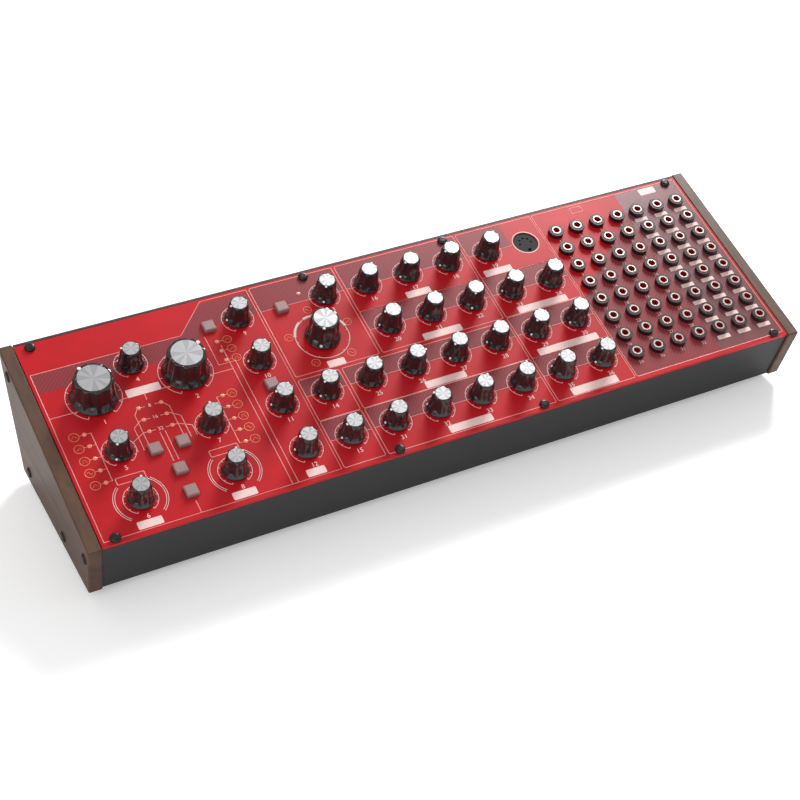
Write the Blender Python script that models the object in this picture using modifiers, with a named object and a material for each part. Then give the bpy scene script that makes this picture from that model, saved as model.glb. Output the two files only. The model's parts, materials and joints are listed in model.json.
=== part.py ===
"""A desktop analog synthesizer: a sloped control panel on a folded steel tray between wooden cheeks.

Lengths are in metres. X runs along the panel, Y from the player to the back, Z up. The origin is the
middle of the footprint, on the surface that the feet stand on. Panel places are given as (across from
the panel's left edge, up the slope from its front edge), with heights out of the panel's top face.
"""

import math

import bmesh
import bpy
from mathutils import Matrix, Vector

# Clearance between pieces that touch, slide or turn in each other
GAP = 0.0003

# Panel
PANEL_WIDTH = 0.4064
PANEL_LENGTH = 0.1285
PANEL_THICKNESS = 0.002
PANEL_SLOPE = math.radians(16.6)
PANEL_SCREW_INSET = 0.003
PANEL_SCREW_COLUMNS = (0.0075, 0.1599, 0.2463, 0.3987)
PANEL_SCREW_RADIUS = 0.0027
PANEL_SCREW_HEIGHT = 0.0016

# Wooden cheeks, with screw places as (up the slope, out of the panel)
CHEEK_THICKNESS = 0.0072
CHEEK_FRONT_HEIGHT = 0.0365
CHEEK_TOP_LENGTH = 0.1321
CHEEK_BASE_LENGTH = 0.1048
CHEEK_FRONT_REACH = 0.0013
CHEEK_STAND_OUT = 0.0002
CHEEK_EDGE_BEVEL = 0.0006
CHEEK_SCREW_RADIUS = 0.0029
CHEEK_SCREW_HEIGHT = 0.0012
CHEEK_SCREW_PLACES = ((0.0044, -0.0121), (0.0356, -0.0383), (0.0887, -0.0541), (0.1160, -0.0061))

# Steel tray
SHEET = 0.0012
TRAY_BASE_RAISE = 0.0005
TRAY_FLANGE = 0.007

# Rubber feet
FOOT_HEIGHT = 0.0052
FOOT_TOP_RADIUS = 0.0064
FOOT_BASE_RADIUS = 0.0054
FOOT_SIDE_INSET = 0.019
FOOT_FRONT_INSET = 0.014
FOOT_BACK_INSET = 0.014

# Control grid: two oscillator columns, then regular columns and rows
OSCILLATOR_MIDDLE = 0.0514
OSCILLATOR_SPREAD = 0.0246
COLUMN_START = 0.1149
COLUMN_PITCH = 0.0254
ROW_START = 0.0200
ROW_PITCH = 0.0299
TUNE_ROW = 0.0855
MIX_ROW = 0.0993
SWEEP_ROW = 0.0843

# Fluted knobs: skirt radius, body radius at its foot and top, depth of flutes, their number, heights
SMALL_KNOB = {"skirt": 0.0070, "foot": 0.0061, "top": 0.0051, "flute": 0.0005, "flutes": 8,
              "skirt_height": 0.0024, "height": 0.0122}
MEDIUM_KNOB = {"skirt": 0.0097, "foot": 0.0086, "top": 0.0076, "flute": 0.0008, "flutes": 8,
               "skirt_height": 0.0028, "height": 0.0144}
LARGE_KNOB = {"skirt": 0.0125, "foot": 0.0113, "top": 0.0100, "flute": 0.0010, "flutes": 10,
              "skirt_height": 0.0032, "height": 0.0150}
KNOB_LIFT = 0.0006
CAP_MARGIN = 0.0012
CAP_RISE = 0.0004
SHAFT_RADIUS = 0.0030
SHAFT_SIDES = 6
HOLE_SIDES = 8

# Push buttons: side, height out of the surface, edge chamfer, retaining flange, stem and travel
BUTTON = {"side": 0.0064, "proud": 0.0023, "chamfer": 0.0005, "flange": 0.0009, "flange_height": 0.0007,
          "stem": 0.0030, "stem_length": 0.0032, "travel": 0.0008}
POWER_BUTTON = {"side": 0.0080, "proud": 0.0040, "chamfer": 0.0008, "flange": 0.0010,
                "flange_height": 0.0012, "stem": 0.0040, "stem_length": 0.0060, "travel": 0.0025}
SWITCH_SIDE = 0.0090

# Patch field
JACK_COLUMNS = 7
JACK_ROWS = 8
JACK_FIRST = (0.3132, 0.1105)
JACK_COLUMN_PITCH = 0.01397
JACK_ROW_PITCH = 0.01335
JACK_BORE_RADIUS = 0.0019
NUT_RADIUS = 0.0044
NUT_HEIGHT = 0.0025
JACK_BODY_SIDE = 0.0090

# Circuit boards under the panel
BOARD_THICKNESS = 0.0016
BOARD_DEPTH = 0.0120
BOARD_SIDE_MARGIN = 0.006
BOARD_END_MARGIN = 0.0095
BOARD_SPLIT = 0.3045
POT_SIDE = 0.0100
POT_DEPTH = 0.0050
POST_RADIUS = 0.0025
POST_COLUMNS = (0.0890, 0.1785, 0.2545)
POST_INSET = 0.0125

# Round five-pole sockets
DIN_RADIUS = 0.0071
DIN_DROP = 0.0004
DIN_CONTACT_CIRCLE = 0.0036
DIN_CONTACT_RADIUS = 0.0007
DIN_CONTACT_DEPTH = 0.004
DIN_NOTCH = 0.0018
DIN_LENGTH = 0.0120

# Back face, seen from behind: places across from the middle, in one row up the wall
BACK_ROW = 0.0300
POWER_PLACE = -0.178
INLET_PLACE = -0.153
USB_PLACE = -0.118
THRU_PLACE = -0.088
AUDIO_PLACES = {"audio_in_jack": 0.092, "line_out_jack": 0.122, "phones_jack": 0.152}
AUDIO_BORE_RADIUS = 0.0033
AUDIO_BARREL_RADIUS = 0.0047
AUDIO_NUT_RADIUS = 0.0068
AUDIO_NUT_HEIGHT = 0.0020
AUDIO_REACH = 0.0032
AUDIO_BODY_SIDE = 0.0142
AUDIO_BODY_LENGTH = 0.0220
INLET_RADIUS = 0.0030
INLET_PIN_RADIUS = 0.0010
INLET_SIDE = 0.0100
INLET_LENGTH = 0.0140
USB_WIDTH = 0.0120
USB_HEIGHT = 0.0110
USB_LENGTH = 0.0160
USB_MOUTH_WIDTH = 0.0085
USB_MOUTH_HEIGHT = 0.0078
USB_TONGUE_WIDTH = 0.0056
USB_TONGUE_HEIGHT = 0.0032
MOUTH_DEPTH = 0.0090
REAR_BOARD_LENGTH = 0.030
REAR_BOARD_MARGIN = 0.012

HALF_WIDTH = PANEL_WIDTH / 2
RISE = math.sin(PANEL_SLOPE)
RUN = math.cos(PANEL_SLOPE)
UNDER_PANEL = -PANEL_THICKNESS - GAP
POT_TOP = -POT_DEPTH
BOARD_BOTTOM = -BOARD_DEPTH - BOARD_THICKNESS
SUNK = PANEL_THICKNESS / 2


def column(index):
    """Place across the panel of a regular knob column."""
    return COLUMN_START + index * COLUMN_PITCH


def row(index):
    """Place up the slope of a regular knob row, counted from the front."""
    return ROW_START + index * ROW_PITCH


OSC1 = OSCILLATOR_MIDDLE - OSCILLATOR_SPREAD
OSC2 = OSCILLATOR_MIDDLE + OSCILLATOR_SPREAD

# Knobs: place across, place up the slope, and the setting in degrees clockwise from straight up
LARGE_KNOBS = {
    "osc1_tune_knob": (OSC1, TUNE_ROW, -30),
    "osc2_tune_knob": (OSC2, TUNE_ROW, 59),
}
MEDIUM_KNOBS = {"lfo_shape_knob": ((column(1) + column(2)) / 2, SWEEP_ROW, -150)}
SMALL_KNOBS = {
    "osc_mix_knob": (OSCILLATOR_MIDDLE, MIX_ROW, -69),
    "osc1_shape_knob": (OSC1, row(1), -150),
    "osc1_width_knob": (OSC1, row(0), 20),
    "osc2_shape_knob": (OSC2, row(1), 0),
    "osc2_width_knob": (OSC2, row(0), 20),
    "filter_frequency_knob": (column(0), row(3), -97),
    "filter_resonance_knob": (column(0), row(2), -90),
    "filter_mod_depth_knob": (column(0), row(1), -90),
    "filter_envelope_knob": (column(0), row(0), -90),
    "lfo_rate_knob": (column(2), row(3), -150),
    "noise_knob": (column(1), row(1), -121),
    "amplifier_bias_knob": (column(1), row(0), -103),
    "delay_time_knob": (column(3), row(3), 40),
    "delay_repeats_knob": (column(4), row(3), -113),
    "delay_mix_knob": (column(5), row(3), -107),
    "output_volume_knob": (column(6), row(3), 40),
    "overdrive_gain_knob": (column(3), row(2), -90),
    "overdrive_tone_knob": (column(4), row(2), 30),
    "overdrive_level_knob": (column(5), row(2), -150),
    "sample_rate_knob": (column(6), row(2), -90),
    "sample_glide_knob": (column(7), row(2), 35),
    "envelope1_attack_knob": (column(2), row(1), 45),
    "envelope1_decay_knob": (column(3), row(1), 95),
    "envelope1_sustain_knob": (column(4), row(1), -121),
    "envelope1_release_knob": (column(5), row(1), -90),
    "slew_knob": (column(6), row(1), -120),
    "portamento_knob": (column(7), row(1), -115),
    "envelope2_attack_knob": (column(2), row(0), -93),
    "envelope2_decay_knob": (column(3), row(0), -62),
    "envelope2_sustain_knob": (column(4), row(0), 40),
    "envelope2_release_knob": (column(5), row(0), 25),
    "attenuator1_knob": (column(6), row(0), -59),
    "attenuator2_knob": (column(7), row(0), -110),
}
KNOB_SETS = ((LARGE_KNOBS, LARGE_KNOB), (MEDIUM_KNOBS, MEDIUM_KNOB), (SMALL_KNOBS, SMALL_KNOB))
BUTTONS = {
    "osc1_range_button": (0.0438, 0.0449),
    "osc2_range_button": (0.0584, 0.0449),
    "osc_sync_button": (0.0511, 0.0298),
    "paraphonic_button": (0.0511, 0.0156),
    "filter_mode_button": (0.0982, 0.1090),
    "lfo_key_sync_button": (0.1399, 0.1090),
    "filter_key_track_button": (0.1145, 0.0632),
}
MIDI_IN_PLACE = (column(7), row(3))

# Base colour, roughness and metallic value of each finish
MATERIALS = {
    "panel_enamel": ((0.62, 0.02, 0.03), 0.25, 0.0),
    "walnut": ((0.16, 0.09, 0.05), 0.55, 0.0),
    "tray_coat": ((0.04, 0.042, 0.045), 0.6, 0.2),
    "knob_black": ((0.015, 0.013, 0.014), 0.25, 0.0),
    "button_grey": ((0.42, 0.34, 0.33), 0.5, 0.0),
    "board_green": ((0.02, 0.16, 0.07), 0.6, 0.0),
    "socket_black": ((0.02, 0.02, 0.02), 0.5, 0.0),
    "foot_rubber": ((0.03, 0.03, 0.03), 0.9, 0.0),
}


def clear_scene():
    """Remove everything that the scene holds."""
    for old in list(bpy.data.objects):
        bpy.data.objects.remove(old, do_unlink=True)


def new_collection(name, hidden=False):
    """A collection linked to the scene."""
    made = bpy.data.collections.new(name)
    bpy.context.scene.collection.children.link(made)
    made.hide_render = hidden
    return made


def material(name):
    """The named Principled material, made on first use."""
    found = bpy.data.materials.get(name)
    if found:
        return found
    colour, roughness, metallic = MATERIALS[name]
    made = bpy.data.materials.new(name)
    made.use_nodes = True
    shader = made.node_tree.nodes["Principled BSDF"]
    shader.inputs["Base Color"].default_value = (*colour, 1.0)
    shader.inputs["Roughness"].default_value = roughness
    shader.inputs["Metallic"].default_value = metallic
    made.diffuse_color = (*colour, 1.0)
    return made


def ring(radius, height, sides, flute=0.0):
    """Corners of a ring about the axis, every second one drawn in by the flute's depth."""
    step = 2 * math.pi / sides
    radii = [radius - flute * (i % 2) for i in range(sides)]
    return [Vector((-r * math.sin(i * step), r * math.cos(i * step), height)) for i, r in enumerate(radii)]


def rectangle(width, length, height):
    """Corners of a rectangle about the axis."""
    signs = ((-1, -1), (1, -1), (1, 1), (-1, 1))
    return [Vector((x * width / 2, y * length / 2, height)) for x, y in signs]


def add_loft(bm, rings, matrix=Matrix()):
    """A closed solid in the bmesh: a flat face extruded through each ring in turn."""
    corners = bmesh.ops.create_circle(bm, cap_ends=True, segments=len(rings[0]), radius=GAP)["verts"]
    face = corners[0].link_faces[0]
    for corner, vert in zip(rings[0], face.verts):
        vert.co = matrix @ corner
    for corners in rings[1:]:
        made = bmesh.ops.extrude_face_region(bm, geom=[face, *face.edges, *face.verts])["geom"]
        face = next(item for item in made if isinstance(item, bmesh.types.BMFace))
        for corner, vert in zip(corners, face.verts):
            vert.co = matrix @ corner


def add_box(bm, low, high):
    """A box between two corners."""
    low, high = Vector(low), Vector(high)
    scale = Matrix.Diagonal((*(high - low), 1))
    bmesh.ops.create_cube(bm, size=1.0, matrix=Matrix.Translation((low + high) / 2) @ scale)


def finish_mesh(bm, name):
    """A mesh data block from the bmesh, with its faces pointing out."""
    bmesh.ops.recalc_face_normals(bm, faces=bm.faces)
    mesh = bpy.data.meshes.new(name)
    bm.to_mesh(mesh)
    bm.free()
    return mesh


def loft(name, rings, places=((0, 0),)):
    """A mesh of one loft, or of its copies at several places of its own plane."""
    bm = bmesh.new()
    for across, up in places:
        add_loft(bm, rings, Matrix.Translation((across, up, 0)))
    return finish_mesh(bm, name)


def side_prism(name, outline, low, high):
    """An outline in (up the slope, out of the panel), extruded across the panel."""
    bm = bmesh.new()
    add_loft(bm, [[Vector((x, v, w)) for v, w in outline] for x in (low, high)])
    return finish_mesh(bm, name)


def add_object(name, mesh, frame, finish, at=(0, 0, 0)):
    """A part in the synthesizer's collection, with its finish."""
    obj = bpy.data.objects.new(name, mesh)
    PARTS.objects.link(obj)
    obj.parent = frame
    obj.location = at
    if not mesh.materials:
        mesh.materials.append(material(finish))
    return obj


def shape_with(obj, mesh, operation):
    """Join a helper mesh to a part, or cut it away, in the part's own place."""
    helper = bpy.data.objects.new(mesh.name, mesh)
    CUTTERS.objects.link(helper)
    helper.parent = obj.parent
    helper.location = obj.location
    helper.display_type = "WIRE"
    helper.hide_render = True
    modifier = obj.modifiers.new(mesh.name, "BOOLEAN")
    modifier.object = helper
    modifier.operation = operation
    modifier.solver = "EXACT"


def apply_shape(obj):
    """Replace a part's mesh with its evaluated one."""
    graph = bpy.context.evaluated_depsgraph_get()
    shaped = bpy.data.meshes.new_from_object(obj.evaluated_get(graph))
    obj.modifiers.clear()
    obj.data = shaped


def shade_round(mesh, degrees=35):
    """Smooth shading that keeps the edges crisp."""
    mesh.shade_smooth()
    mesh.set_sharp_from_angle(angle=math.radians(degrees))


def centred(places):
    """Panel places, measured from the middle of the panel instead of from its left edge."""
    return [(across - HALF_WIDTH, up) for across, up in places]


def crossing(point_a, along_a, point_b, along_b):
    """Where two lines of a plane cross."""
    cross = along_a.x * along_b.y - along_a.y * along_b.x
    reach = point_b - point_a
    return point_a + along_a * ((reach.x * along_b.y - reach.y * along_b.x) / cross)


ALONG_BASE = Vector((RUN, -RISE))
OFF_BASE = Vector((RISE, RUN))
UPRIGHT = Vector((0.0, 1.0))
CHEEK_FRONT = Vector((-CHEEK_FRONT_REACH, CHEEK_STAND_OUT))
CHEEK_FRONT_BASE = CHEEK_FRONT - UPRIGHT * CHEEK_FRONT_HEIGHT
CHEEK_BACK_BASE = CHEEK_FRONT_BASE + ALONG_BASE * CHEEK_BASE_LENGTH
CHEEK_BACK = CHEEK_FRONT + Vector((CHEEK_TOP_LENGTH, 0.0))
ALONG_BACK = (CHEEK_BACK - CHEEK_BACK_BASE).normalized()
INTO_BACK = Vector((-ALONG_BACK.y, ALONG_BACK.x))
BASE_POINT = CHEEK_FRONT_BASE + OFF_BASE * TRAY_BASE_RAISE
BACK_BASE = crossing(BASE_POINT, ALONG_BASE, CHEEK_BACK_BASE, ALONG_BACK)

# Height of the panel's front edge, and its place from front to back that centres the footprint
BASE_HEIGHT = FOOT_HEIGHT + GAP - TRAY_BASE_RAISE
PANEL_HEIGHT = BASE_HEIGHT - CHEEK_FRONT_BASE.dot(OFF_BASE)
PANEL_FRONT = -(CHEEK_FRONT.dot(ALONG_BASE) + CHEEK_BACK.dot(ALONG_BASE)) / 2


def make_frames():
    """Empties on the panel's front edge and on the foot of the back wall, turned to their faces."""
    panel = bpy.data.objects.new("panel_frame", None)
    panel.location = (0, PANEL_FRONT, PANEL_HEIGHT)
    panel.rotation_euler = (PANEL_SLOPE, 0, 0)
    back = bpy.data.objects.new("back_frame", None)
    back.parent = panel
    back.location = (0, *BACK_BASE)
    back.rotation_euler = (math.pi / 2 + math.atan2(ALONG_BACK.x, ALONG_BACK.y), 0, math.pi)
    for empty in (panel, back):
        PARTS.objects.link(empty)
    return panel, back


def jack_places():
    """Places of the patch jacks, from the top left one."""
    first_across, first_up = JACK_FIRST
    return [(first_across + i * JACK_COLUMN_PITCH, first_up - j * JACK_ROW_PITCH)
            for j in range(JACK_ROWS) for i in range(JACK_COLUMNS)]


def knob_places():
    """Places of all the knobs' shafts."""
    return [(across, up) for knobs, _ in KNOB_SETS for across, up, _ in knobs.values()]


def screw_head(radius, height):
    """Rings of a domed screw head, sunk into what it holds."""
    return [ring(radius, -SUNK, 8), ring(radius, height / 2, 8), ring(radius * 0.7, height, 8)]


def make_panel(frame):
    """The enamelled panel with its screws and jack nuts, cut for shafts, buttons, jacks and a socket."""
    bm = bmesh.new()
    add_box(bm, (-HALF_WIDTH, 0, -PANEL_THICKNESS), (HALF_WIDTH, PANEL_LENGTH, 0))
    panel = add_object("top_panel", finish_mesh(bm, "top_panel"), frame, "panel_enamel")
    ups = (PANEL_SCREW_INSET, PANEL_LENGTH - PANEL_SCREW_INSET)
    screws = centred([(across, up) for across in PANEL_SCREW_COLUMNS for up in ups])
    shape_with(panel, loft("panel_screws", screw_head(PANEL_SCREW_RADIUS, PANEL_SCREW_HEIGHT), screws), "UNION")
    nut = [ring(NUT_RADIUS, -SUNK, 8), ring(NUT_RADIUS, NUT_HEIGHT, 8)]
    shape_with(panel, loft("jack_nuts", nut, centred(jack_places())), "UNION")
    above, below = 2 * NUT_HEIGHT, -2 * PANEL_THICKNESS
    hole = (SHAFT_RADIUS + GAP) / math.cos(math.pi / HOLE_SIDES)
    window = BUTTON["side"] + 2 * GAP
    cuts = (
        ("jack_bores", [ring(JACK_BORE_RADIUS, h, 6) for h in (below, above)], jack_places()),
        ("shaft_holes", [ring(hole, h, HOLE_SIDES) for h in (below, above)], knob_places()),
        ("button_windows", [rectangle(window, window, h) for h in (below, above)], BUTTONS.values()),
        ("midi_in_hole", [ring(DIN_RADIUS + GAP, h, 16) for h in (below, above)], [MIDI_IN_PLACE]),
    )
    for name, rings, places in cuts:
        shape_with(panel, loft(name, rings, centred(places)), "DIFFERENCE")


def make_tray(panel_frame, back_frame):
    """The folded steel tray: floor, four walls, a back lip, and flanges under the panel's two long edges."""
    front_base = crossing(BASE_POINT, ALONG_BASE, Vector((0.0, 0.0)), UPRIGHT)
    lip = PANEL_LENGTH + GAP
    bend = crossing(CHEEK_BACK, ALONG_BACK, Vector((lip + SHEET, 0.0)), UPRIGHT)
    outer = ((0, UNDER_PANEL), front_base, BACK_BASE, bend, (lip + SHEET, 0), (lip, 0), (lip, UNDER_PANEL))
    floor = BASE_POINT + OFF_BASE * SHEET
    wall = BACK_BASE + INTO_BACK * SHEET
    flange = Vector((0.0, UNDER_PANEL - SHEET))
    across = Vector((1.0, 0.0))
    inner_front = crossing(floor, ALONG_BASE, Vector((SHEET, 0.0)), UPRIGHT)
    inner_back = crossing(floor, ALONG_BASE, wall, ALONG_BACK)
    inner_top = crossing(flange, across, wall, ALONG_BACK)
    mouth = (TRAY_FLANGE, PANEL_LENGTH - TRAY_FLANGE)
    inner = ((SHEET, flange.y), inner_front, inner_back, inner_top, (mouth[1], flange.y),
             (mouth[1], SHEET), (mouth[0], SHEET), (mouth[0], flange.y))
    tray = add_object("case_tray", side_prism("case_tray", outer, -HALF_WIDTH, HALF_WIDTH), panel_frame,
                      "tray_coat")
    side = HALF_WIDTH - SHEET
    shape_with(tray, side_prism("tray_hollow", inner, -side, side), "DIFFERENCE")
    apply_shape(tray)
    button = POWER_BUTTON["side"] + 2 * GAP
    deep = (-2 * SHEET, SHEET)
    bm = bmesh.new()
    holes = [([ring(AUDIO_BARREL_RADIUS + GAP, h, 12) for h in deep], x) for x in AUDIO_PLACES.values()]
    holes.append(([ring(DIN_RADIUS + GAP, h, 16) for h in deep], THRU_PLACE))
    holes.append(([ring(INLET_RADIUS, h, 10) for h in deep], INLET_PLACE))
    holes.append(([rectangle(USB_MOUTH_WIDTH, USB_MOUTH_HEIGHT, h) for h in deep], USB_PLACE))
    holes.append(([rectangle(button, button, h) for h in deep], POWER_PLACE))
    for rings, place in holes:
        add_loft(bm, rings, BACK_IN_PANEL @ Matrix.Translation((place, BACK_ROW, 0)))
    shape_with(tray, finish_mesh(bm, "back_holes"), "DIFFERENCE")


def make_cheek(frame, name, side):
    """One wooden cheek with its screw heads; side is -1 for the left and 1 for the right."""
    outline = (CHEEK_FRONT, CHEEK_FRONT_BASE, CHEEK_BACK_BASE, CHEEK_BACK)
    inner = HALF_WIDTH + GAP
    outer = inner + CHEEK_THICKNESS
    cheek = add_object(name, side_prism(name, outline, side * inner, side * outer), frame, "walnut")
    bevel = cheek.modifiers.new("soft_edges", "BEVEL")
    bevel.width = CHEEK_EDGE_BEVEL
    bevel.segments = 1
    bm = bmesh.new()
    for up, out in CHEEK_SCREW_PLACES:
        turn = Matrix.Rotation(side * math.pi / 2, 4, "Y")
        head = Matrix.Translation((side * outer, up, out)) @ turn
        add_loft(bm, screw_head(CHEEK_SCREW_RADIUS, CHEEK_SCREW_HEIGHT), head)
    shape_with(cheek, finish_mesh(bm, name + "_screws"), "UNION")


def make_feet():
    """Four rubber feet under the tray, wider where they are stuck on."""
    front = PANEL_FRONT + CHEEK_FRONT_BASE.dot(ALONG_BASE)
    back = PANEL_FRONT + BACK_BASE.dot(ALONG_BASE)
    sides = {"left": -1, "right": 1}
    ends = {"front": front + FOOT_FRONT_INSET, "back": back - FOOT_BACK_INSET}
    rings = [ring(FOOT_BASE_RADIUS, 0, 12), ring(FOOT_TOP_RADIUS, FOOT_HEIGHT, 12)]
    mesh = loft("foot", rings)
    shade_round(mesh)
    for end, along in ends.items():
        for side, sign in sides.items():
            at = (sign * (HALF_WIDTH - FOOT_SIDE_INSET), along, 0)
            add_object(f"{end}_{side}_foot", mesh, None, "foot_rubber", at)


def knob_mesh(name, size, capped):
    """A fluted knob with a flared skirt and a shaft; capped ones have a raised disc on top."""
    sides = 2 * size["flutes"]
    top = KNOB_LIFT + size["height"]
    rings = [
        ring(size["skirt"], KNOB_LIFT, sides),
        ring(size["foot"], KNOB_LIFT + size["skirt_height"], sides, size["flute"]),
        ring(size["top"], top, sides, size["flute"]),
    ]
    if capped:
        cap = size["top"] - size["flute"] - CAP_MARGIN
        rings += [ring(cap, top, sides), ring(cap, top + CAP_RISE, sides)]
    knob = add_object(name, loft(name, rings), None, "knob_black")
    shaft = [ring(SHAFT_RADIUS, h, SHAFT_SIDES) for h in (POT_TOP + GAP, size["skirt_height"])]
    shape_with(knob, loft(name + "_shaft", shaft), "UNION")
    apply_shape(knob)
    mesh = knob.data
    bpy.data.objects.remove(knob, do_unlink=True)
    shade_round(mesh)
    return mesh


def make_knobs(frame):
    """All the knobs, each turned to its setting about its shaft."""
    for knobs, size in KNOB_SETS:
        mesh = knob_mesh("knob", size, capped=knobs is not SMALL_KNOBS)
        for name, (across, up, setting) in knobs.items():
            knob = add_object(name, mesh, frame, "knob_black", (across - HALF_WIDTH, up, 0))
            knob.rotation_euler.z = -math.radians(setting)


def plunger(name, size, wall):
    """A push button's mesh, from its stem up: stem, flange behind the wall, then the cap."""
    behind = -wall - GAP
    low = behind - size["flange_height"]
    flange = size["side"] + 2 * size["flange"]
    steps = (
        (size["stem"], low - size["stem_length"]),
        (size["stem"], low),
        (flange, low),
        (flange, behind),
        (size["side"], behind),
        (size["side"], size["proud"] - size["chamfer"]),
        (size["side"] - 2 * size["chamfer"], size["proud"]),
    )
    return loft(name, [rectangle(side, side, height) for side, height in steps])


def well(size, wall):
    """Height of a button switch's top, and of the bottom of its well, behind the wall."""
    low = -wall - GAP - size["flange_height"]
    return low - size["travel"] - GAP, low - size["stem_length"] - size["travel"] - GAP


def make_buttons(panel_frame, back_frame):
    """The panel's square buttons and the power button."""
    mesh = plunger("button", BUTTON, PANEL_THICKNESS)
    for name, (across, up) in BUTTONS.items():
        add_object(name, mesh, panel_frame, "button_grey", (across - HALF_WIDTH, up, 0))
    power = plunger("power_button", POWER_BUTTON, SHEET)
    add_object("power_button", power, back_frame, "socket_black", (POWER_PLACE, BACK_ROW, 0))


def make_main_board(frame):
    """The control board: potentiometers, button switches with wells, and posts up to the panel."""
    low = BOARD_SIDE_MARGIN - HALF_WIDTH
    high = BOARD_SPLIT - GAP - HALF_WIDTH
    bm = bmesh.new()
    add_box(bm, (low, BOARD_END_MARGIN, BOARD_BOTTOM), (high, PANEL_LENGTH - BOARD_END_MARGIN, -BOARD_DEPTH))
    board = add_object("main_board", finish_mesh(bm, "main_board"), frame, "board_green")
    seat = -BOARD_DEPTH - BOARD_THICKNESS / 2
    switch_top, well_bottom = well(BUTTON, PANEL_THICKNESS)
    posts = [(x, y) for x in POST_COLUMNS for y in (POST_INSET, PANEL_LENGTH - POST_INSET)]
    hole = BUTTON["stem"] + 2 * GAP
    joined = (
        ([rectangle(POT_SIDE, POT_SIDE, h) for h in (seat, POT_TOP)], knob_places()),
        ([rectangle(SWITCH_SIDE, SWITCH_SIDE, h) for h in (seat, switch_top)], BUTTONS.values()),
        ([ring(POST_RADIUS, h, 8) for h in (seat, UNDER_PANEL)], posts),
    )
    bm = bmesh.new()
    for rings, places in joined:
        for across, up in centred(places):
            add_loft(bm, rings, Matrix.Translation((across, up, 0)))
    shape_with(board, finish_mesh(bm, "board_components"), "UNION")
    wells = [rectangle(hole, hole, h) for h in (well_bottom, 0)]
    shape_with(board, loft("switch_wells", wells, centred(BUTTONS.values())), "DIFFERENCE")


def make_jack_board(frame):
    """The patch board, whose jack bodies stand against the panel."""
    low = BOARD_SPLIT + GAP - HALF_WIDTH
    high = HALF_WIDTH - BOARD_SIDE_MARGIN
    bm = bmesh.new()
    add_box(bm, (low, BOARD_END_MARGIN, BOARD_BOTTOM), (high, PANEL_LENGTH - BOARD_END_MARGIN, -BOARD_DEPTH))
    board = add_object("jack_board", finish_mesh(bm, "jack_board"), frame, "board_green")
    seat = -BOARD_DEPTH - BOARD_THICKNESS / 2
    bodies = [rectangle(JACK_BODY_SIDE, JACK_BODY_SIDE, h) for h in (seat, UNDER_PANEL)]
    shape_with(board, loft("jack_bodies", bodies, centred(jack_places())), "UNION")


def make_din_socket(name, frame, at, length):
    """A round socket with five contact holes on an arc and a key notch, its face just below the surface."""
    socket = add_object(name, loft(name, [ring(DIN_RADIUS, h, 16) for h in (-DIN_DROP - length, -DIN_DROP)]),
                        frame, "socket_black", at)
    arc = [math.radians(angle) for angle in range(0, 181, 45)]
    contacts = [(DIN_CONTACT_CIRCLE * math.cos(a), DIN_CONTACT_CIRCLE * math.sin(a)) for a in arc]
    bottom = -DIN_DROP - DIN_CONTACT_DEPTH
    bm = bmesh.new()
    for across, up in contacts:
        add_loft(bm, [ring(DIN_CONTACT_RADIUS, h, 6) for h in (bottom, GAP)], Matrix.Translation((across, up, 0)))
    keyway = Matrix.Translation((0, -DIN_RADIUS + DIN_NOTCH, 0))
    add_loft(bm, [rectangle(DIN_NOTCH, DIN_NOTCH, h) for h in (bottom, GAP)], keyway)
    shape_with(socket, finish_mesh(bm, name + "_contacts"), "DIFFERENCE")


def make_audio_jack(name, frame, place):
    """A large jack: a body behind the wall, a barrel through it, a nut outside, and one bore."""
    half = AUDIO_BODY_SIDE / 2
    front = -SHEET - GAP
    bm = bmesh.new()
    add_box(bm, (-half, -half, front - AUDIO_BODY_LENGTH), (half, half, front))
    jack = add_object(name, finish_mesh(bm, name), frame, "socket_black", (place, BACK_ROW, 0))
    barrel = [ring(AUDIO_BARREL_RADIUS, h, 12) for h in (front - SHEET, GAP)]
    nut = [ring(AUDIO_NUT_RADIUS, h, 12) for h in (GAP, GAP + AUDIO_NUT_HEIGHT)]
    rim = [ring(AUDIO_BARREL_RADIUS, h, 12) for h in (GAP + AUDIO_NUT_HEIGHT, AUDIO_REACH)]
    shape_with(jack, loft(name + "_barrel", barrel + nut + rim), "UNION")
    bore = [ring(AUDIO_BORE_RADIUS, h, 12) for h in (front - AUDIO_BODY_LENGTH + 2 * SHEET, 2 * AUDIO_REACH)]
    shape_with(jack, loft(name + "_bore", bore), "DIFFERENCE")


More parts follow.
